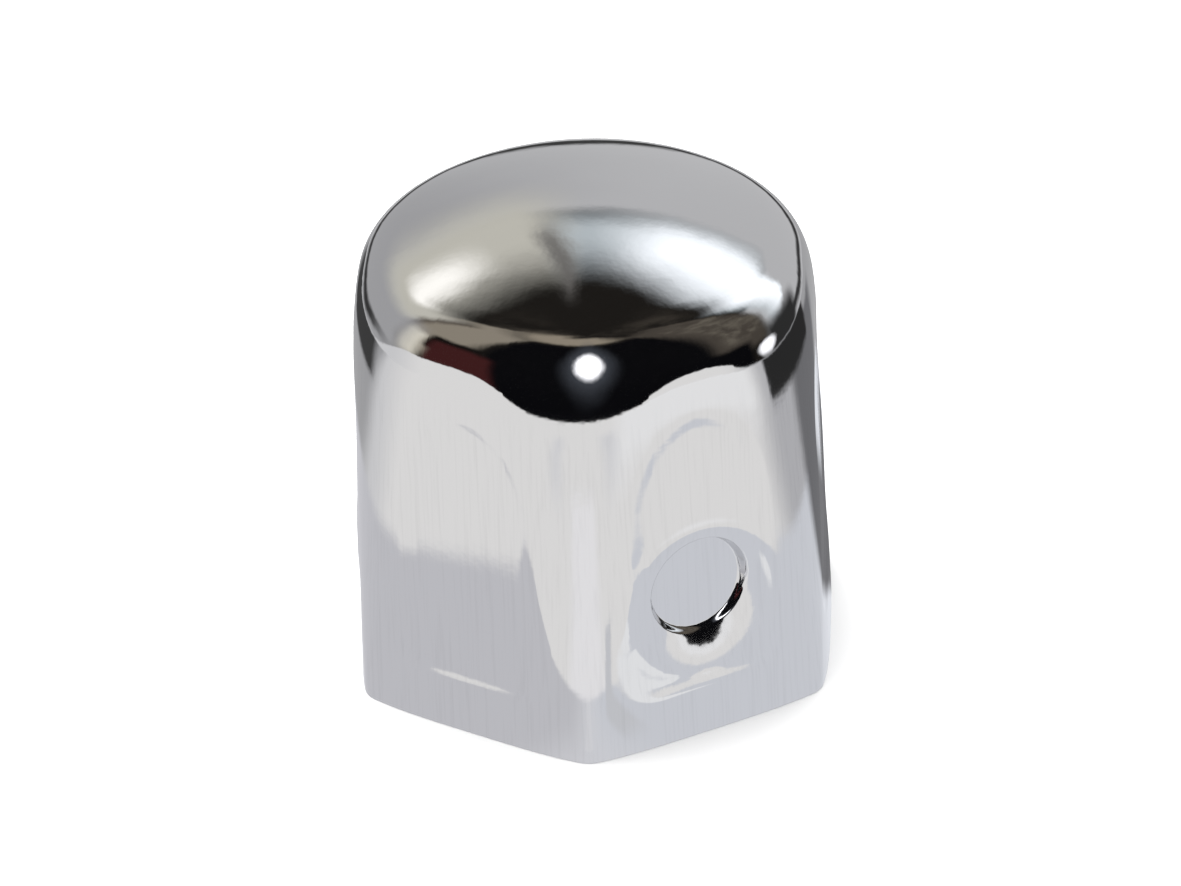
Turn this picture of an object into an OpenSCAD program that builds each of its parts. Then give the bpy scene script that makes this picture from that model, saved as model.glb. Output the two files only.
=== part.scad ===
// Wheel nut cover cap: one shell of drawn, plated sheet steel, a hexagon below and a dome above.
// The origin is the middle of the open rim, +Z points through the dome and a corner faces -Y.

/* [Nut] */
// Across flats of the wheel nut that the cap covers
nut_flats = 19; // [17:0.5:24]
// Gap between the nut and each flat of the cap, at the rim
nut_gap = 0.3; // [0.15:0.05:0.6]

/* [Shell] */
// Thickness of the sheet
wall = 0.5; // [0.3:0.05:0.8]
// Height from the rim to the top of the dome
cap_h = 21.5; // [19.5:0.5:28]
// Angle at which the flats lean inwards, in degrees
draft = 1; // [0:0.25:2]

/* [Corners] */
// Radius of the six corners at the rim
rim_corner_r = 0.8; // [0.8:0.1:2]
// Radius of the six corners at the height of the dome's widest ring
top_corner_r = 6.8; // [4:0.2:8]

/* [Dome] */
// How far the dome's widest ring stands out past the flats at the rim
dome_proud = 1.3; // [0.8:0.1:1.8]
// Angle at which the corners lean inwards below that ring, in degrees
dome_lean = 1.8; // [0:0.2:4]
// Radius of the bend round the edge of the dome
bend_r = 5.6; // [3.6:0.2:6.6]
// Radius of the dome's crown
crown_r = 22.5; // [18:0.5:34]
// Width over which the flats blend into the dome
blend_w = 1.9; // [0.6:0.1:3]

/* [Panels] */
// Depth of the panel that is pressed into each flat
panel_depth = 0.12; // [0:0.02:0.2]
// Height of the plain band between the rim and the panels
band_h = 2.2; // [1:0.2:3]
// Width of the soft border of each panel
panel_edge = 0.6; // [0.3:0.1:1.2]

/* [Dimples] */
// How many flats have a dimple that grips the nut
dimples = 3; // [0:3:6]
// Height of the dimples' centres above the rim
dimple_z = 7.2; // [5.5:0.1:9]
// Radius of the flat disc in the middle of each dimple
disc_r = 2.1; // [1.5:0.05:2.4]
// Radius of the shallow dish round the disc
dish_r = 3.3; // [3.1:0.1:3.6]
// Depth of the dish where it meets the step of the disc
dish_depth = 0.2; // [0.1:0.02:0.24]
// Width that the sloping step of the disc takes up
step_run = 0.25; // [0.1:0.05:0.3]
// How far the discs bite past the flats of the nut
grip = 0.6; // [0.3:0.05:0.7]

/* [Smoothness] */
// Columns of facets between a corner and the middle of a flat
columns = 6; // [4:1:9]
// Rows of facets on a straight wall, above the plain band
wall_rows = 7; // [4:1:12]
// Rows of facets on the dome
dome_rows = 15; // [8:1:20]

/* [Hidden] */

sides = 6;
half_side = 180 / sides;
// Distance from the axis to a flat at the rim, on the outside
flat_r = nut_flats / 2 + nut_gap + wall;
// Widest ring of the dome, and the circle that the bend is rolled along
dome_r = flat_r + dome_proud;
bend_c = dome_r - bend_r;
// Heights of the crown's centre and of the dome's widest ring
crown_z = cap_h - crown_r;
bend_z = crown_z + sqrt(pow(crown_r - bend_r, 2) - pow(bend_c, 2));
// Sine of the steepness at which the bend runs into the crown
crown_sin = (bend_z - crown_z) / (crown_r - bend_r);
// Growth of the corner radius for each millimetre of height
corner_growth = (top_corner_r - rim_corner_r) / bend_z;
smallest_r = 0.1;
// The columns crowd towards the corners by this power
crowding = 1.5;
round_fn = 64;
dish_steps = 6;
// How far the dimple tools reach past the sheet
clear = 0.2;

// Eases from 0 to 1 while x goes from 0 to 1
function ease(x) = let (t = min(max(x, 0), 1)) t * t * (3 - 2 * t);

// The smaller of two radii, blended where they come close
function soft_min(u, v) = min(u, v) - pow(max(blend_w - abs(u - v), 0), 2) / (4 * blend_w);

// Half across flats and corner radius at a height; inset is 0 outside and the wall inside
function flat_at(z, inset) = flat_r - inset - z * tan(draft);
function corner_at(z, inset) =
    min(max(rim_corner_r + corner_growth * z - inset, smallest_r), flat_at(z, inset) - smallest_r);

// Angle from the middle of the nearest flat
function from_flat(a) = abs((a + half_side) % (2 * half_side) - half_side);

// Radius of a hexagon with rounded corners in the direction a
function hex_at(a, flat, corner) =
    let (
        q = from_flat(a),
        centre = (flat - corner) / cos(half_side),
        d = half_side - q,
        straight = atan((flat - corner) * tan(half_side) / flat)
    )
    q < straight ? flat / cos(q) : centre * cos(d) + sqrt(pow(corner, 2) - pow(centre * sin(d), 2));

// Radius of the round body: leaning wall, bend and crown
function dome_at(z, inset) =
    z < bend_z ? dome_r - inset + (bend_z - z) * tan(dome_lean)
    : z < bend_z + (bend_r - inset) * crown_sin ? bend_c + sqrt(pow(bend_r - inset, 2) - pow(z - bend_z, 2))
    : sqrt(max(pow(crown_r - inset, 2) - pow(z - crown_z, 2), 0));

// Share of the panel's depth at a place on a flat, soft at the band, the corners and the dome
function panel_at(a, z, flat, corner, gap) =
    ease((z - band_h) / panel_edge)
    * ease(((flat - corner) * tan(half_side) - flat * tan(min(from_flat(a), half_side))) / panel_edge)
    * ease(gap / blend_w);

// Radius of one skin of the shell in the direction a
function skin_at(a, z, inset) =
    let (
        flat = flat_at(z, inset),
        corner = corner_at(z, inset),
        hex = hex_at(a, flat, corner),
        dome = dome_at(z, inset)
    )
    soft_min(hex, dome) - panel_depth * panel_at(a, z, flat, corner, dome - hex);

// Directions of the columns, closer together at the corners
angles = [
    for (side = [0 : sides - 1], j = [-columns : columns - 1])
        half_side * (2 * side + 1) + half_side * sign(j) * pow(abs(j) / columns, crowding)
];

// Heights of the rows, from the rim up, closer together round the bend of the dome
function heights(inset) = concat(
    [0, band_h / 2, band_h, band_h + panel_edge / 2],
    [
        for (i = [0 : wall_rows - 1])
            band_h + panel_edge + (bend_z - band_h - panel_edge) * i / wall_rows
    ],
    [for (i = [0 : dome_rows - 1]) bend_z + (cap_h - inset - bend_z) * sin(90 * i / dome_rows)]
);

function ring(z, inset) = [for (a = angles) let (r = skin_at(a, z, inset)) [r * cos(a), r * sin(a), z]];

function reversed(list) = [for (i = [len(list) - 1 : -1 : 0]) list[i]];

// A closed skin through rings of points, with a pole at each end of the stack
module loft(pole_a, rings, pole_b) {
    n = len(rings[0]);
    last = len(rings) - 1;
    points = concat([pole_a], [for (r = rings, p = r) p], [pole_b]);
    function at(row, j) = 1 + row * n + j % n;
    faces = concat(
        [for (j = [0 : n - 1]) [0, at(0, j + 1), at(0, j)]],
        [
            for (row = [0 : last - 1], j = [0 : n - 1], half = [0, 1])
                half == 0 ? [at(row, j), at(row, j + 1), at(row + 1, j + 1)]
                : [at(row, j), at(row + 1, j + 1), at(row + 1, j)]
        ],
        [for (j = [0 : n - 1]) [len(points) - 1, at(last, j), at(last, j + 1)]]
    );
    polyhedron(points, faces);
}

// The shell: down the outside from the top of the dome, across the rim and up the inside
module shell() {
    loft(
        [0, 0, cap_h],
        concat(
            [for (z = reversed(heights(0))) ring(z, 0)],
            [for (z = heights(wall)) ring(z, wall)]
        ),
        [0, 0, cap_h - wall]
    );
}

// Depth of a dimple's disc below the panel: through the gap to the nut, and then the grip
disc_depth = flat_at(dimple_z, wall) - panel_depth - nut_flats / 2 + grip;

// Depth of the dish at a distance q from the dimple's centre, and its way back from a depth
function dish_at(q) = dish_depth * (pow(dish_r, 2) - pow(q, 2)) / (pow(dish_r, 2) - pow(disc_r, 2));
function dish_out(depth) =
    sqrt(pow(dish_r, 2) - depth / dish_depth * (pow(dish_r, 2) - pow(disc_r, 2)));

// A round tool with a disc and a dish, lowered by drop, its flat back at the depth back
module dimple_tool(disc, drop, back) {
    rim_q = dish_out(back - drop);
    edge_q = disc + step_run;
    rotate_extrude($fn = round_fn)
        polygon(concat(
            [[0, back]],
            [
                for (i = [0 : dish_steps])
                    let (q = rim_q + (edge_q - rim_q) * i / dish_steps) [q, drop + dish_at(q)]
            ],
            [[disc, drop + disc_depth], [0, drop + disc_depth]]
        ));
}

// Puts its children on every dimpled flat, with +Z pointing into the cap
module on_dimpled_flats() {
    if (dimples > 0)
        for (i = [0 : dimples - 1])
            rotate([0, 0, 180 + 360 / dimples * i])
                translate([flat_at(dimple_z, 0) - panel_depth, 0, dimple_z])
                    rotate([0, -(90 + draft), 0])
                        children();
}

module cap() {
    color([0.80, 0.81, 0.83])
        difference() {
            union() {
                shell();
                on_dimpled_flats() dimple_tool(disc_r + wall, wall, wall / 2);
            }
            on_dimpled_flats() dimple_tool(disc_r, 0, -clear);
        }
}

cap();
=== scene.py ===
"""Wheel nut cover cap in bright chrome: the smooth drawn shell, a pale floor, its surroundings and a camera.

The shell is worked out on one grid. Its columns run round the cap and its rows run from the rim up. Every
length is in millimetres until the mesh is made, and +Z is up through the dome, with a corner facing -Y.
"""

import math

import bpy
import numpy as np
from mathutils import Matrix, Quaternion, Vector


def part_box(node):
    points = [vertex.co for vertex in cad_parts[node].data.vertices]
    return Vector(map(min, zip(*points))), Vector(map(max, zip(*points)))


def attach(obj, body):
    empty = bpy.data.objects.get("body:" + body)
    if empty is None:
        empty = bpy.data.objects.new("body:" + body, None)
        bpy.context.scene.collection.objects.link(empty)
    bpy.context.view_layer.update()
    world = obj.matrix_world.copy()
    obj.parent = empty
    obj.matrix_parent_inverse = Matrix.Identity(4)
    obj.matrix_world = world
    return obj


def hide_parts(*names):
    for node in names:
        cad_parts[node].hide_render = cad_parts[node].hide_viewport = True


bl_info = {
    "name": "Wheel Nut Cover Cap",
    "version": (1, 0, 0),
    "blender": (4, 5, 0),
    "location": "3D View > Sidebar > Nut Cap",
    "description": "Builds a chrome wheel nut cover cap with its floor, surroundings and camera",
    "category": "Add Mesh",
}

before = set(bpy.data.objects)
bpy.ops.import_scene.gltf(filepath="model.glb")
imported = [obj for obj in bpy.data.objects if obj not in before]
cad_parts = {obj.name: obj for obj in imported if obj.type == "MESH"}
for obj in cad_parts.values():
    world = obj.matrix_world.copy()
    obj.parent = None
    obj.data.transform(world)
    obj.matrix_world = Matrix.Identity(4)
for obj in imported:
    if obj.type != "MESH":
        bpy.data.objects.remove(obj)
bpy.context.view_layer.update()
MM = 0.001
CAP_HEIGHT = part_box("cap")[1].z / MM
# From the axis to a flat's outside at the rim
HALF_FLATS = 10.3
SIDES = 6
HALF_SIDE = math.pi / SIDES
BODY = "root"
# How far the grids are refined: the columns of both skins, and the rows of each skin
COLUMN_DETAIL = 2
OUTER_DETAIL = 2
INNER_DETAIL = 1
# Steps of each quarter arc that rounds the rim
RIM_STEPS = 4
# The panels widen above the dimples, from this height over this run by this share of the corner's radius
FLARE_START = 7.0
FLARE_RUN = 5.0
FLARE = 0.28
# Softness with which a panel's outline turns at its arched top and along its foot
ARCH_SOFT = 4.0
FOOT_SOFT = 2.6
# Share of the sheet by which a dish is wider on the inner skin, and the grid's margin for the lip
DISH_GROWTH = 0.2
LIP_MARGIN = 0.2

# The drawing lines fade out between these heights in metres, and are duller than the plating by this
LINES_FULL, LINES_GONE = 0.0145, 0.0175
LINES_SHADE = 0.955
# Noise scales of the drawing lines and of the orange peel
LINES_SCALE = (6500.0, 6500.0, 160.0)
PEEL_SCALE = 1500.0

DEGREES = 180.0 / math.pi
# The mirrored table, and what dims it at the left and at the right
TABLE = (0.98, 0.97, 0.955)
TABLE_LEFT = (0.80, 0.80, 0.81)
TABLE_RIGHT = (0.58, 0.58, 0.60)
FLOOR_RADIUS = 0.9
LIGHT_PLACE = (-0.1, 0.1, 0.7)
LIGHT_SIZE = 0.6
LIGHT_ENERGY = 6.5
# The camera's angles in degrees, its distance and the height that it looks at in metres
CAMERA_TURN = 3.3
CAMERA_TILT = 31.2
CAMERA_ROLL = 2.5
CAMERA_DISTANCE = 0.416
CAMERA_TARGET = 0.0093
CAMERA_LENS = 290.0
SENSOR_WIDTH = 36.0


class ShellSizes(bpy.types.PropertyGroup):
    """Sizes of the drawn shell, in millimetres and radians"""

    wall: bpy.props.FloatProperty(name="Sheet", description="Thickness of the sheet", default=0.5)
    draft: bpy.props.FloatProperty(
        name="Draft", description="Lean of the flats", default=math.radians(1.0), subtype="ANGLE"
    )
    rim_corner: bpy.props.FloatProperty(
        name="Rim corner", description="Corner radius at the rim", default=0.8
    )
    top_corner: bpy.props.FloatProperty(
        name="Top corner", description="Corner radius at the dome's widest ring", default=6.8
    )
    dome_proud: bpy.props.FloatProperty(
        name="Dome stand-out", description="How far the dome's widest ring passes the flats", default=1.3
    )
    dome_lean: bpy.props.FloatProperty(
        name="Corner lean", description="Lean of the corners", default=math.radians(1.8), subtype="ANGLE"
    )
    bend: bpy.props.FloatProperty(
        name="Bend", description="Radius of the bend round the dome", default=5.6
    )
    crown: bpy.props.FloatProperty(name="Crown", description="Radius of the dome's crown", default=22.5)
    blend: bpy.props.FloatProperty(
        name="Blend", description="Width over which flats and dome blend", default=1.9
    )
    rim_round: bpy.props.FloatProperty(
        name="Rim rounding", description="Radius of the trimmed rim's two edges", default=0.08
    )


class PanelSizes(bpy.types.PropertyGroup):
    """Sizes of the pressed panels and dimples, in millimetres"""

    panel_depth: bpy.props.FloatProperty(
        name="Panel depth", description="Depth of the panel on each flat", default=0.14
    )
    band: bpy.props.FloatProperty(
        name="Band", description="Height of the plain band along the rim", default=2.2
    )
    panel_top: bpy.props.FloatProperty(
        name="Panel top", description="Height of the top of the arched panels", default=16.2
    )
    panel_edge: bpy.props.FloatProperty(
        name="Panel edge", description="Width of a panel's soft border", default=0.9
    )
    dimple_height: bpy.props.FloatProperty(
        name="Dimple height", description="Height of the dimples' centres", default=7.2
    )
    disc: bpy.props.FloatProperty(
        name="Disc", description="Radius of a dimple's disc, to the middle of its step", default=2.3
    )
    disc_depth: bpy.props.FloatProperty(
        name="Disc depth", description="Depth of the disc below the panel", default=0.654
    )
    step: bpy.props.FloatProperty(
        name="Step", description="Width that the disc's step takes up", default=0.28
    )
    dish: bpy.props.FloatProperty(name="Dish", description="Radius of the dish round it", default=3.6)
    dish_drop: bpy.props.FloatProperty(
        name="Dish drop", description="How far the dish's centre lies below the disc's", default=0.85
    )
    dish_slope: bpy.props.FloatProperty(
        name="Dish slope", description="Slope of the dish inside its border", default=0.14
    )
    dish_bend: bpy.props.FloatProperty(
        name="Dish bend", description="Growth of that slope for each half millimetre in", default=0.0475
    )
    rim_run: bpy.props.FloatProperty(
        name="Edge run", description="Width over which the dish turns to its slope", default=0.1
    )
    lip: bpy.props.FloatProperty(
        name="Lip", description="Height of the soft lip that the press raised round the dish", default=0.055
    )
    lip_width: bpy.props.FloatProperty(name="Lip width", description="Width of that lip", default=0.7)


class FinishColours(bpy.types.PropertyGroup):
    """Colours of the finish and of the studio"""

    chrome: bpy.props.FloatVectorProperty(
        name="Chrome", description="Colour of the plating", default=(0.69, 0.69, 0.70), subtype="COLOR"
    )
    floor: bpy.props.FloatVectorProperty(
        name="Floor", description="Colour of the floor", default=(0.9, 0.9, 0.9), subtype="COLOR"
    )
    backdrop: bpy.props.FloatVectorProperty(
        name="Backdrop", description="Colour behind the floor", default=(0.97, 0.97, 0.97), subtype="COLOR"
    )


class CapSettings(bpy.types.PropertyGroup):
    """All settings of the cap"""

    shell: bpy.props.PointerProperty(type=ShellSizes)
    panels: bpy.props.PointerProperty(type=PanelSizes)
    colours: bpy.props.PointerProperty(type=FinishColours)


def ease(x):
    """Goes smoothly from 0 to 1 while x does: 3 t squared less 2 t cubed, t being x held in 0 to 1."""
    t = np.clip(x, 0.0, 1.0)
    return t * t * (3.0 - 2.0 * t)


def soft_min(u, v, width):
    """The smaller of u and v, less (width - |u - v|) squared over 4 widths where they are that close."""
    near = np.maximum(width - np.abs(u - v), 0.0)
    return np.minimum(u, v) - near * near / (4.0 * width)


class ShellShape:
    """The skins of the shell as formulas; inset is 0 for the outer skin and the sheet for the inner one."""

    smallest = 0.1

    def __init__(self, shell, panels):
        self.s = shell
        self.p = panels
        self.dome_radius = HALF_FLATS + shell.dome_proud
        self.bend_centre = self.dome_radius - shell.bend
        self.crown_z = CAP_HEIGHT - shell.crown
        reach = shell.crown - shell.bend
        self.bend_z = self.crown_z + math.sqrt(reach**2 - self.bend_centre**2)
        self.crown_sine = (self.bend_z - self.crown_z) / reach
        self.growth = (shell.top_corner - shell.rim_corner) / self.bend_z

    def flat(self, z, inset):
        """Half across flats at a height: the rim's value less the draft's lean."""
        return HALF_FLATS - inset - z * math.tan(self.s.draft)

    def corner(self, z, inset):
        """Corner radius at a height: it grows evenly from the rim up."""
        radius = np.maximum(self.s.rim_corner + self.growth * z - inset, self.smallest)
        return np.minimum(radius, self.flat(z, inset) - self.smallest)

    def hexagon(self, off, flat, corner):
        """Polar radius of a hexagon with round corners, off being the angle from a flat's middle.

        On the straight part it is flat / cos(off). On the corner it is the far crossing with a circle whose
        centre stands (flat - corner) / cos 30 degrees out on the corner's line.
        """
        centre = (flat - corner) / math.cos(HALF_SIDE)
        away = HALF_SIDE - off
        straight = np.arctan((flat - corner) * math.tan(HALF_SIDE) / flat)
        side = np.sqrt(np.maximum(corner**2 - (centre * np.sin(away)) ** 2, 0.0))
        return np.where(off < straight, flat / np.cos(off), centre * np.cos(away) + side)

    def dome(self, z, inset):
        """Radius of the round body: a leaning wall, the bend's circle, then the crown's circle."""
        lean = self.dome_radius - inset + (self.bend_z - z) * math.tan(self.s.dome_lean)
        bend_r, crown_r = self.s.bend - inset, self.s.crown - inset
        bend = self.bend_centre + np.sqrt(np.maximum(bend_r**2 - (z - self.bend_z) ** 2, 0.0))
        crown = np.sqrt(np.maximum(crown_r**2 - (z - self.crown_z) ** 2, 0.0))
        on_bend = z < self.bend_z + bend_r * self.crown_sine
        return np.where(z < self.bend_z, lean, np.where(on_bend, bend, crown))

    def panel(self, off, z, flat, corner):
        """Share of the panel's depth: eased in from an outline with two upright sides and round corners.

        Above the dimples the sides reach a little into the corners' rounding. The outline is the soft
        smallest of the distances from the sides, the band and the top.
        """
        reach = corner * (1.0 - FLARE * ease((z - FLARE_START) / FLARE_RUN))
        side = (flat - reach) * math.tan(HALF_SIDE) - flat * np.tan(off)
        arch = soft_min(side, self.p.panel_top - z, ARCH_SOFT)
        within = soft_min(arch, z - self.p.band, FOOT_SOFT)
        return ease(within / self.p.panel_edge)

    def skin(self, angle, z, inset):
        """Radius of a skin: the soft smaller of hexagon and round body, less the pressed panel."""
        off = np.abs((angle + HALF_SIDE) % (2 * HALF_SIDE) - HALF_SIDE)
        flat, corner = self.flat(z, inset), self.corner(z, inset)
        hexagon, dome = self.hexagon(off, flat, corner), self.dome(z, inset)
        pressed = self.p.panel_depth * self.panel(off, z, flat, corner)
        return soft_min(hexagon, dome, self.s.blend) - pressed

    def dimple(self, side, up, inset):
        """Depth at a place on the flat, measured from a dimple's centre.

        Below the disc the dish reaches further out, because its centre lies lower. With u for how far a
        place lies within the dish, the dish falls by dish_slope (u - rim_run (1 - exp(-u / rim_run))) and
        by dish_bend u squared. A raised lip with a bell profile stands round it, eased away towards the
        bottom, and an eased step goes down to the flat disc.
        """
        p = self.p
        out = np.hypot(side, up + p.dish_drop) - p.dish - DISH_GROWTH * inset
        u = np.maximum(-out, 0.0)
        dish = p.dish_slope * (u - p.rim_run * (1.0 - np.exp(-u / p.rim_run))) + p.dish_bend * u * u
        lip = p.lip * np.exp(-(((out - p.lip_width / 4) / (p.lip_width / 2)) ** 2))
        lip = lip * ease((up + p.dish_drop) / p.dish + 1.0)
        step = ease((p.disc + inset + p.step / 2 - np.hypot(side, up)) / p.step)
        return (dish - lip) * (1.0 - step) + p.disc_depth * step

    def reach(self):
        """How far from a dimple's centre its dish and lip reach, at most."""
        return self.p.dish + self.p.dish_drop + LIP_MARGIN


def spread(*stretches):
    """Joins stretches (start, end, count) of even steps into one rising list, without repeats."""
    parts = [np.linspace(a, b, n, endpoint=False) for a, b, n in stretches]
    return np.concatenate(parts + [[stretches[-1][1]]])


def dimple_lines(disc, reach, step, fine):
    """Distances of grid lines from a dimple's centre: closest together over 1.2 widths of the disc's step."""
    low, high = disc - step * 0.6, disc + step * 0.6
    return spread((0.0, low, 2 * fine), (low, high, 4 * fine), (high, reach, 9 * fine))


def square_to_round(s, t, inner, outer):
    """Moves grid places (s, t) so that squares round a dimple become circles of the same half width.

    m is the larger of |s| and |t|. Up to m = inner a place is scaled by m over its distance, and from there
    to m = outer the scale eases back to 1.
    """
    m = np.maximum(np.abs(s), np.abs(t))
    distance = np.maximum(np.hypot(s, t), 1e-9)
    pull = (m / distance - 1.0) * (1.0 - ease((m - inner) / (outer - inner))) + 1.0
    pull = np.where(m < 1e-9, 1.0, pull)
    return s * pull, t * pull


def skin_points(shape, inset, row_detail):
    """Grid of points of one skin, a row for each height from the rim up and a column for each direction.

    Grid lines crowd round the dimples' steps and the corners. On a dimpled flat the squares of the grid
    round the dimple are turned into circles first, so the edge of the disc follows the grid. A point's
    direction is the arctangent of its place across the flat over the flat's distance, its radius is the
    skin's there, and a dimple's depth is taken off square to its flat.
    """
    p, s = shape.p, shape.s
    reach = shape.reach()
    lines = dimple_lines(p.disc, reach, p.step, COLUMN_DETAIL)
    middle = shape.flat(p.dimple_height, inset)
    edge = spread((reach, middle * math.tan(HALF_SIDE), 5 * COLUMN_DETAIL))
    half = np.concatenate([lines, edge[1:]])
    across = np.concatenate([-half[:0:-1], half[:-1]])
    side = np.tile(across, SIDES)
    face = np.repeat(np.arange(SIDES), len(across))

    rows = dimple_lines(p.disc, reach, p.step, row_detail)
    low, high = p.dimple_height - reach, p.dimple_height + reach
    band = spread((s.rim_round, p.band - 0.1, 3 * row_detail), (p.band - 0.1, low, 3 * row_detail))
    walls = spread((high, shape.bend_z, 6 * row_detail))
    turn = np.linspace(0.0, math.pi / 2, 24 * row_detail, endpoint=False)
    dome = shape.bend_z + (CAP_HEIGHT - inset - shape.bend_z) * np.sin(turn)
    heights = np.concatenate(
        [band[:-1], p.dimple_height + np.concatenate([-rows[::-1], rows[1:]]), walls[1:-1], dome]
    )

    up, side = np.meshgrid(heights - p.dimple_height, side, indexing="ij")
    dimpled = face % 2 == 1
    round_side, round_up = square_to_round(side, up, p.disc + p.step, reach)
    side = np.where(dimpled, round_side, side)
    up = np.where(dimpled, round_up, up)
    z = p.dimple_height + up
    facing = 2 * HALF_SIDE * face
    angle = facing + np.arctan(side / middle)
    radius = shape.skin(angle, z, inset)
    drop = np.where(dimpled, shape.dimple(side, up, inset), 0.0)
    x = radius * np.cos(angle) - drop * np.cos(facing)
    y = radius * np.sin(angle) - drop * np.sin(facing)
    return np.stack([x, y, z], axis=-1)


def rim_points(outer, inner, rounding):
    """Rings that take the outer skin's first ring under the rim to the inner skin's, by two quarter arcs.

    At a turn of an arc a ring stands rounding (1 - cos) from its skin and rounding (1 - sin) above the rim.
    """
    across = inner[0] - outer[0]
    inward = across / np.linalg.norm(across[:, :2], axis=1, keepdims=True)
    inward[:, 2] = 0.0
    turns = np.linspace(0.0, math.pi / 2, RIM_STEPS + 1)[1:]
    places = [(outer[0], inward, turn) for turn in turns]
    places += [(inner[0], -inward, turn) for turn in turns[::-1]]
    rings = np.stack([skin + way * rounding * (1 - math.cos(turn)) for skin, way, turn in places])
    rings[:, :, 2] = [[rounding * (1 - math.sin(turn))] for _, _, turn in places]
    return rings


def ring_faces(rows, columns):
    """Point numbers of closed rings that follow a pole, those of their right neighbours, and the quads."""
    index = 1 + np.arange(rows * columns).reshape(rows, columns)
    right = np.roll(index, -1, axis=1)
    quads = np.stack([index[:-1], index[1:], right[1:], right[:-1]], axis=-1).reshape(-1, 4)
    return index, right, quads


def closed_mesh(name, rings, pole_a, pole_b):
    """A mesh through rings of points, closed round the rings and by a pole at each end of the stack."""
    rows, columns = rings.shape[:2]
    points = np.concatenate([[pole_a], rings.reshape(-1, 3), [pole_b]]) * MM
    index, right, quads = ring_faces(rows, columns)
    first = np.stack([np.zeros(columns, int), index[0], right[0]], axis=-1)
    last = np.stack([np.full(columns, len(points) - 1), right[-1], index[-1]], axis=-1)
    loops = np.concatenate([quads.ravel(), first.ravel(), last.ravel()])
    sizes = np.concatenate([np.full(len(quads), 4), np.full(2 * columns, 3)])
    starts = np.concatenate([[0], np.cumsum(sizes)[:-1]])
    mesh = bpy.data.meshes.new(name)
    mesh.vertices.add(len(points))
    mesh.loops.add(len(loops))
    mesh.polygons.add(len(sizes))
    mesh.vertices.foreach_set("co", points.astype(np.float32).ravel())
    mesh.loops.foreach_set("vertex_index", loops.astype(np.int32))
    mesh.polygons.foreach_set("loop_start", starts.astype(np.int32))
    mesh.polygons.foreach_set("use_smooth", np.ones(len(sizes), bool))
    mesh.update(calc_edges=True)
    mesh.validate()
    return mesh


class Wire:
    """One socket of a node tree. Python's operators on it add Math nodes."""

    def __init__(self, graph, socket):
        self.graph, self.socket = graph, socket

    def math(self, operation, *values):
        """A Math node on this wire and the values."""
        sockets = dict(enumerate((self, *values)))
        return self.graph.add("ShaderNodeMath", {"operation": operation}, sockets).wire()

    def __add__(self, other):
        return self.math("ADD", other)

    __radd__ = __add__

    def __sub__(self, other):
        return self.math("SUBTRACT", other)

    def __rsub__(self, other):
        return self * -1.0 + other

    def __mul__(self, other):
        return self.math("MULTIPLY", other)

    __rmul__ = __mul__

    def __neg__(self):
        return self * -1.0

    def __abs__(self):
        return self.math("ABSOLUTE")

    def __pow__(self, power):
        return self.math("POWER", power)

    def eased(self, low, high):
        """0 below low, 1 above high and smooth between; with high below low it falls instead."""
        settings = {"interpolation_type": "SMOOTHSTEP"}
        sockets = {"Value": self, "From Min": low, "From Max": high}
        return self.graph.add("ShaderNodeMapRange", settings, sockets).wire()

    def between(self, low, high, soft):
        """1 from low to high, falling smoothly to 0 over a width soft centred on each end."""
        half = soft / 2
        return self.eased(low - half, low + half) * self.eased(high + half, high - half)


class Made:
    """A node just added, whose outputs are wires."""

    def __init__(self, graph, node):
        self.graph, self.node = graph, node

    def wire(self, name=0):
        """The output of a name or a number."""
        return Wire(self.graph, self.node.outputs[name])


class Graph:
    """A node tree that is filled from empty."""

    def __init__(self, owner):
        owner.use_nodes = True
        self.tree = owner.node_tree
        self.tree.nodes.clear()

    def add(self, kind, settings=None, sockets=None):
        """Adds a node of a kind: first its settings, then the value or the wire of each named socket."""
        node = self.tree.nodes.new(kind)
        for name, value in (settings or {}).items():
            setattr(node, name, value)
        for name, value in (sockets or {}).items():
            if isinstance(value, Wire):
                self.tree.links.new(value.socket, node.inputs[name])
            else:
                node.inputs[name].default_value = value
        return Made(self, node)

    def layered(self, base, layers):
        """Lays (colour, share) layers over a base colour, in order."""
        for top, share in layers:
            base = self.mixed_colours(base, (*top, 1.0), share)
        return base

    def mixed_colours(self, first, second, share):
        """Goes from the first colour to the second one by a share.

        A Mix node's sockets for colours are 6 and 7, and its colour comes out at 2.
        """
        return self.add("ShaderNodeMix", {"data_type": "RGBA"}, {0: share, 6: first, 7: second}).wire(2)

    def mixed_shaders(self, first, second, share):
        """Goes from the first shader to the second one by a share."""
        return self.add("ShaderNodeMixShader", {}, {0: share, 1: first, 2: second}).wire()

    def noise(self, place, scale, detail):
        """Fractal noise round 0.5."""
        sockets = {"Vector": place, "Scale": scale, "Detail": detail, "Roughness": 0.5}
        return self.add("ShaderNodeTexNoise", {}, sockets).wire()

    def parts(self, vector):
        """The X, Y and Z of a vector."""
        split = self.add("ShaderNodeSeparateXYZ", {}, {"Vector": vector})
        return split.wire(0), split.wire(1), split.wire(2)

    def place(self, kind):
        """Texture coordinates of a kind."""
        return self.add("ShaderNodeTexCoord").wire(kind)

    def mirrored(self):
        """1 for a ray that the chrome mirrors."""
        return self.add("ShaderNodeLightPath").wire("Is Glossy Ray")

    def finish(self, shader, kind="ShaderNodeOutputMaterial"):
        """Links a shader to the output."""
        self.add(kind, {}, {"Surface": shader})


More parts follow.
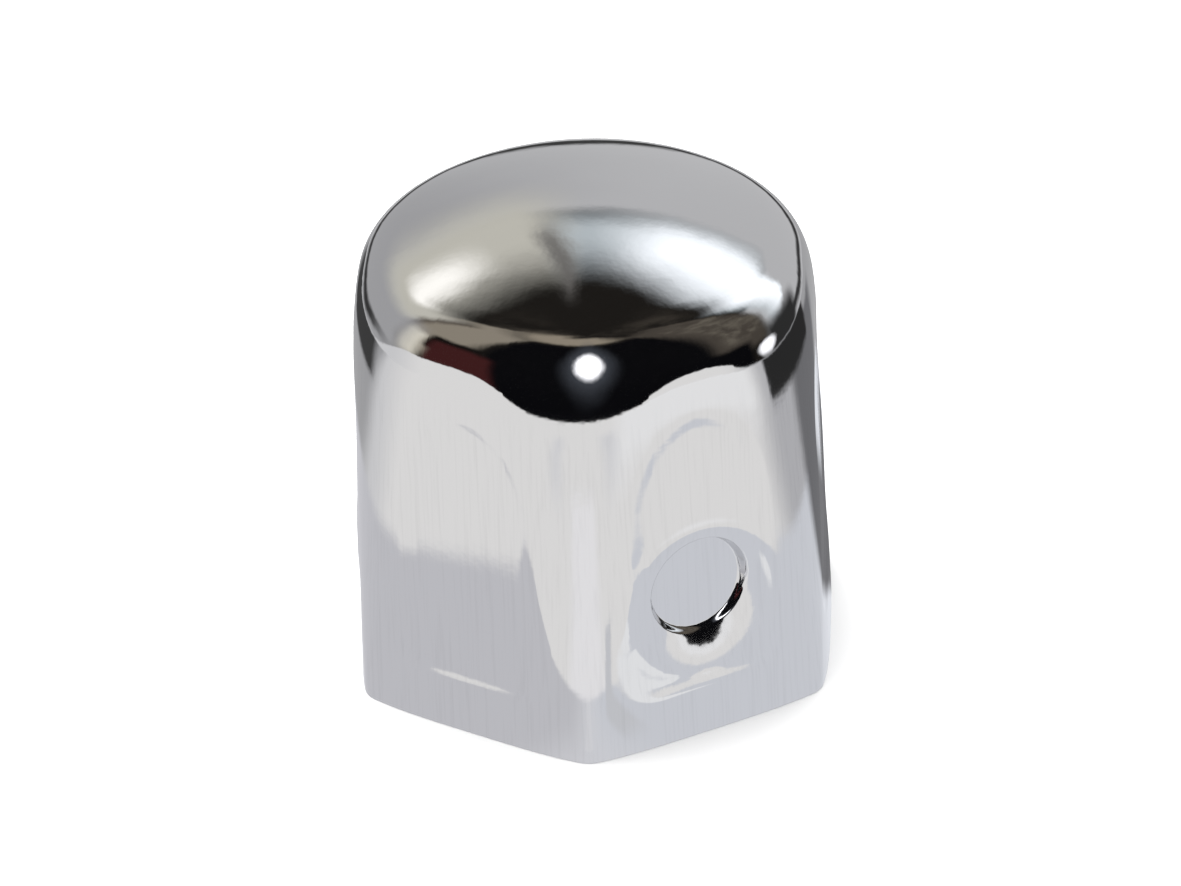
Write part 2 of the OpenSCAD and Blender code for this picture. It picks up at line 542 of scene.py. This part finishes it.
def chrome_finish(colour):
    """Bright chrome plate: fine drawing lines up the flats, and a faint orange peel all over."""
    material = bpy.data.materials.new("chrome_plate")
    graph = Graph(material)
    place = graph.place("Object")
    height = graph.parts(place)[2]
    flats = height.eased(LINES_GONE, LINES_FULL)
    stretched = graph.add("ShaderNodeMapping", {}, {"Vector": place, "Scale": LINES_SCALE})
    lines = graph.noise(stretched.wire(), 1.0, 3.0)
    peel = graph.noise(place, PEEL_SCALE, 2.0)
    relief = lines * flats * 0.35 + peel * 0.65
    bump = graph.add("ShaderNodeBump", {}, {"Strength": 0.05, "Distance": 0.0001, "Height": relief})
    worn = tuple(LINES_SHADE * part for part in colour)
    sockets = {
        "Base Color": graph.layered((*colour, 1.0), [(worn, lines.eased(0.45, 0.75) * flats)]),
        "Metallic": 1.0,
        "Roughness": lines * flats * 0.06 + 0.035,
        "Normal": bump.wire(),
    }
    graph.finish(graph.add("ShaderNodeBsdfPrincipled", {}, sockets).wire())
    return material


class NUTCAP_OT_shell(bpy.types.Operator):
    """Build the drawn chrome shell in place of the plain CAD node"""

    bl_idname = "nutcap.shell"
    bl_label = "Cap Shell"

    def execute(self, context):
        settings = context.scene.nut_cap
        shape = ShellShape(settings.shell, settings.panels)
        outer = skin_points(shape, 0.0, OUTER_DETAIL)
        inner = skin_points(shape, settings.shell.wall, INNER_DETAIL)
        rim = rim_points(outer, inner, settings.shell.rim_round)
        rings = np.concatenate([outer[::-1], rim, inner])
        top = (0.0, 0.0, CAP_HEIGHT)
        under = (0.0, 0.0, CAP_HEIGHT - settings.shell.wall)
        cap = bpy.data.objects.new("cap_shell", closed_mesh("cap_shell", rings, top, under))
        context.scene.collection.objects.link(cap)
        cap.data.materials.append(chrome_finish(tuple(settings.colours.chrome)))
        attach(cap, BODY)
        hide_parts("cap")
        return {"FINISHED"}


def table_sides(front):
    """Layers that dim the mirrored table on its left and its right, by the angle from -Y."""
    return [(TABLE_LEFT, front.eased(-72.0, -100.0)), (TABLE_RIGHT, front.eased(60.0, 88.0))]


def studio_world(world, backdrop):
    """What the chrome mirrors, by direction: up is the angle over the horizon, front and back are angles
    from -Y and +Y, growing towards +X. All other rays see only the plain backdrop.

    A pale table lies below. A dark room with one lamp stands in front, with a red and a cream wall at its
    left and a brown wall with a small second lamp at its right. Behind stand a bright window on each side,
    parted by a post, and a plain grey screen under them. A dim warm ceiling lies over all.
    """
    graph = Graph(world)
    ray = graph.place("Generated")
    x, y, z = graph.parts(ray)
    wave = graph.noise(ray, 4.0, 3.0) - 0.5
    streaks = graph.noise(ray, 7.0, 3.0).eased(0.35, 0.75)
    level = z.math("ARCSINE") * DEGREES
    front = x.math("ARCTAN2", -y) * DEGREES
    back = x.math("ARCTAN2", y) * DEGREES + wave * 6.0
    up = level + wave * 6.0
    table_top = front.between(-100.0, -48.0, 36.0) * 11.0 + front.between(44.0, 68.0, 24.0) * 6.0 - 14.5
    sill = 36.0 - back.eased(40.0, 72.0) * 36.0
    rise = back.between(15.0, 45.0, 30.0) * 3.0
    panes = (up - sill).eased(-5.0, 6.0) * (up - rise).eased(61.0, 43.0)
    overhead = streaks * up.eased(58.0, 70.0) * (1.0 - back.between(-30.0, 30.0, 30.0))
    lamp = (((front - 5.0) ** 2.0) * 0.7 + ((up - 37.0) ** 2.0) * 0.12) ** 0.5
    small_lamp = (((front - 95.0) ** 2.0) * 0.35 + ((level + 9.5) ** 2.0)) ** 0.5
    layers = [
        # The ceiling and the warm walls at the left
        ((0.050, 0.043, 0.035), overhead),
        ((0.36, 0.31, 0.24), up.between(74.0, 86.0, 6.0) * front.between(-110.0, 45.0, 50.0)),
        ((0.34, 0.30, 0.24), up.between(0.0, 72.0, 16.0) * front.between(-112.0, -62.0, 10.0)),
        ((0.95, 0.90, 0.76), up.between(-6.0, 24.0, 10.0) * front.between(-112.0, -82.0, 10.0)),
        ((0.13, 0.11, 0.09), up.between(-7.0, 60.0, 8.0) * front.between(-110.0, -96.0, 8.0)),
        # The screen behind, the window at the right, the warm window at the left and the post between
        ((0.62, 0.62, 0.63), up.between(-60.0, 34.0, 6.0) * back.between(-78.0, 82.0, 10.0)),
        ((0.46, 0.46, 0.47), up.between(-60.0, 30.0, 16.0) * back.between(-88.0, -8.0, 30.0)),
        ((0.62, 0.68, 0.71), panes * back.between(-10.0, 76.0, 12.0)),
        ((1.60, 1.66, 1.72), panes * back.between(7.0, 69.0, 20.0)),
        ((0.70, 0.68, 0.60), up.between(26.0, 52.5, 20.0) * back.between(-78.0, -7.0, 10.0)),
        ((1.45, 1.42, 1.34), up.between(39.0, 48.0, 9.0) * back.between(-58.0, -26.0, 14.0)),
        ((0.19, 0.18, 0.17), up.between(41.0, 62.0, 12.0) * back.between(-10.5, -6.5, 6.0)),
        # The table's dark far edge, and the brown wall and the dark card at the right
        ((0.05, 0.05, 0.05), up.between(-12.0, -6.0, 4.0) * back.between(-70.0, 70.0, 30.0)),
        ((0.080, 0.068, 0.056), up.between(-4.0, 74.0, 8.0) * front.between(56.0, 98.0, 8.0)),
        ((0.17, 0.15, 0.12), streaks * up.between(6.0, 64.0, 12.0) * front.between(70.0, 98.0, 10.0)),
        ((0.035, 0.035, 0.035), up.between(-40.0, 4.0, 14.0) * front.between(97.0, 126.0, 8.0)),
        # The dark room in front, the red wall at its left and the two lamps
        ((0.004, 0.004, 0.005), up.between(-40.0, 72.0, 8.0) * front.between(-56.0, 62.0, 10.0)),
        ((0.004, 0.004, 0.005), up.between(-40.0, 2.0, 6.0) * front.between(50.0, 84.0, 6.0)),
        ((0.010, 0.008, 0.007), up.between(10.0, 30.0, 6.0) * front.between(-80.0, -56.0, 6.0)),
        ((0.065, 0.017, 0.017), up.between(-10.0, 23.0, 8.0) * front.between(-76.0, -50.0, 8.0)),
        ((1.60, 1.60, 1.65), small_lamp.eased(5.5, 2.5)),
        ((0.10, 0.11, 0.13), lamp.eased(18.0, 2.0)),
        ((4.00, 4.00, 4.10), lamp.eased(9.0, 2.0)),
    ]
    room = graph.layered((0.016, 0.014, 0.012, 1.0), layers)
    table = graph.layered((*TABLE, 1.0), table_sides(front))
    over = (level - table_top).eased(-0.7, 0.7)
    room = graph.mixed_colours(table, room, over)
    light = graph.add("ShaderNodeBackground", {}, {"Color": room}).wire()
    plain = graph.add("ShaderNodeBackground", {}, {"Color": (*backdrop, 1.0)}).wire()
    graph.finish(graph.mixed_shaders(plain, light, graph.mirrored()), "ShaderNodeOutputWorld")


def floor_finish(colour):
    """Pale matt floor, which fades away far out.

    Mirrored rays see it as a glowing table that ends much nearer, its light and shade painted into the glow:
    painted shade that the cap stands in, a thin strip of painted shade, a painted gleam by the right foot,
    two patches of painted shade, a painted darker back, painted brighter strips in front and dark cards at
    both sides.
    """
    material = bpy.data.materials.new("pale_floor")
    graph = Graph(material)
    place = graph.place("Object")
    x, y, _ = graph.parts(place)
    away = (x * x + y * y) ** 0.5
    front = x.math("ARCTAN2", -y) * DEGREES
    left = x.eased(0.004, -0.004)
    right = x.eased(0.003, 0.007)
    edge = away + (graph.noise(place, 45.0, 2.0) - 0.5) * 0.0012
    outer = edge + left * y.eased(-0.006, -0.0165) * 0.0022
    beside = (y + abs(x) * 0.435 + x * 0.085 - right * 0.0024).eased(-0.0132, -0.0124)
    sliver = abs(x).eased(0.0006, 0.0004) * y.eased(0.0, -0.001) * 0.25
    near = (edge + right * 0.0016).eased(0.0184, 0.0174) * (1.0 - sliver)
    shade = (outer.eased(0.0276, 0.0252) * beside).math("MAXIMUM", near)
    shade_patch_band = y.between(-0.054, -0.038, 0.008)
    shade_strip = (x + y * 0.27).between(-0.0005, 0.0010, 0.0006) * y.between(-0.0235, -0.0120, 0.0020)
    gleam = x.between(0.0072, 0.0112, 0.0010) * y.between(-0.0175, -0.0130, 0.0010)
    layers = table_sides(front) + [
        # A painted brighter strip of the mirrored floor straight in front of the cap
        ((1.05, 1.04, 1.05), abs(x).eased(0.006, 0.003) * y.between(-0.040, -0.010, 0.004)),
        # Two patches of painted shade on the mirrored floor, at the right and at the left
        ((0.87, 0.87, 0.885), shade_patch_band * x.between(0.010, 0.018, 0.006)),
        ((0.88, 0.88, 0.895), shade_patch_band * x.between(-0.013, -0.009, 0.005)),
        # The back of the mirrored floor, painted darker grey
        ((0.45, 0.45, 0.46), y.eased(0.004, 0.014)),
        ((0.06, 0.06, 0.06), edge.eased(0.039, 0.043) * front.between(-150.0, -106.0, 8.0)),
        ((0.70, 0.70, 0.735), shade * left),
        ((0.79, 0.81, 0.86), shade * (1.0 - left)),
        # A thin slanting strip of painted shade on the mirrored floor
        ((0.74, 0.75, 0.78), shade_strip),
        ((1.04, 1.05, 1.06), gleam),
        ((0.20, 0.20, 0.21), edge.eased(0.060, 0.050) * front.between(104.0, 142.0, 10.0)),
        ((0.03, 0.03, 0.03), edge.eased(0.038, 0.0425) * front.between(83.5, 127.0, 3.0)),
        # A painted brighter band of the mirrored floor further out at the front right
        ((1.06, 1.06, 1.06), edge.eased(0.034, 0.044) * front.between(20.0, 74.0, 12.0)),
    ]
    table = graph.add("ShaderNodeEmission", {}, {"Color": graph.layered((*TABLE, 1.0), layers)}).wire()
    sockets = {"Base Color": (*colour, 1.0), "Roughness": 0.9}
    matt = graph.add("ShaderNodeBsdfPrincipled", {}, sockets).wire()
    clear = graph.add("ShaderNodeBsdfTransparent").wire()
    mirrored = graph.mirrored()
    seen = graph.mixed_shaders(matt, table, mirrored)
    fade = mirrored * away.eased(0.070, 0.076) + (1.0 - mirrored) * away.eased(0.35, 0.80)
    graph.finish(graph.mixed_shaders(seen, clear, fade))
    return material


def disc_mesh(name, radius, rings, spokes):
    """A flat disc: rings of points round a pole, on the plane z = 0."""
    reach = radius * np.linspace(0.0, 1.0, rings + 1)[1:]
    turn = np.linspace(0.0, 2 * math.pi, spokes, endpoint=False)
    ring = np.stack([np.cos(turn), np.sin(turn), np.zeros(spokes)], axis=-1)
    points = np.concatenate([np.zeros((1, 3)), (reach[:, None, None] * ring[None]).reshape(-1, 3)])
    index, right, quads = ring_faces(rings, spokes)
    fan = np.stack([np.zeros(spokes, int), index[0], right[0]], axis=-1)
    mesh = bpy.data.meshes.new(name)
    mesh.from_pydata(points.tolist(), [], fan.tolist() + quads.tolist())
    mesh.update()
    return mesh


class NUTCAP_OT_stage(bpy.types.Operator):
    """Set up the pale floor, the surroundings that the chrome mirrors, the soft light and the camera"""

    bl_idname = "nutcap.stage"
    bl_label = "Studio"

    def execute(self, context):
        scene = context.scene
        colours = scene.nut_cap.colours
        floor = bpy.data.objects.new("floor", disc_mesh("floor", FLOOR_RADIUS, 8, 96))
        scene.collection.objects.link(floor)
        floor.data.materials.append(floor_finish(tuple(colours.floor)))

        scene.world = bpy.data.worlds.new("studio")
        studio_world(scene.world, colours.backdrop)

        lamp = bpy.data.lights.new("soft_top_light", "AREA")
        lamp.shape = "DISK"
        lamp.size = LIGHT_SIZE
        lamp.energy = LIGHT_ENERGY
        light = bpy.data.objects.new("soft_top_light", lamp)
        light.location = LIGHT_PLACE
        light.rotation_euler = (-light.location).to_track_quat("-Z", "Y").to_euler()
        light.visible_glossy = False
        light.visible_camera = False
        scene.collection.objects.link(light)

        view = bpy.data.cameras.new("camera")
        view.sensor_width = SENSOR_WIDTH
        view.lens = CAMERA_LENS
        view.clip_start, view.clip_end = 0.01, 10.0
        camera = bpy.data.objects.new("camera", view)
        turn, tilt = math.radians(CAMERA_TURN), math.radians(CAMERA_TILT)
        back = Vector((math.sin(turn) * math.cos(tilt), -math.cos(turn) * math.cos(tilt), math.sin(tilt)))
        camera.location = Vector((0.0, 0.0, CAMERA_TARGET)) + back * CAMERA_DISTANCE
        aim = (-back).to_track_quat("-Z", "Y") @ Quaternion((0.0, 0.0, 1.0), -math.radians(CAMERA_ROLL))
        camera.rotation_euler = aim.to_euler()
        scene.collection.objects.link(camera)
        scene.camera = camera
        scene.view_settings.view_transform = "Standard"
        return {"FINISHED"}


class NUTCAP_PT_panel(bpy.types.Panel):
    """Lists the steps that build the cap and its studio"""

    bl_idname = "NUTCAP_PT_panel"
    bl_label = "Nut Cap"
    bl_space_type = "VIEW_3D"
    bl_region_type = "UI"
    bl_category = "Nut Cap"

    def draw(self, context):
        for step in STEPS:
            self.layout.operator(step.bl_idname)


GROUPS = (ShellSizes, PanelSizes, FinishColours, CapSettings)
STEPS = (NUTCAP_OT_shell, NUTCAP_OT_stage)


def register():
    for item in (*GROUPS, *STEPS, NUTCAP_PT_panel):
        bpy.utils.register_class(item)
    bpy.types.Scene.nut_cap = bpy.props.PointerProperty(type=CapSettings)


def unregister():
    del bpy.types.Scene.nut_cap
    for item in (NUTCAP_PT_panel, *reversed(STEPS), *reversed(GROUPS)):
        bpy.utils.unregister_class(item)


def main():
    """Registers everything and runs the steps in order."""
    register()
    bpy.ops.nutcap.shell()
    bpy.ops.nutcap.stage()


if __name__ == "__main__":
    main()
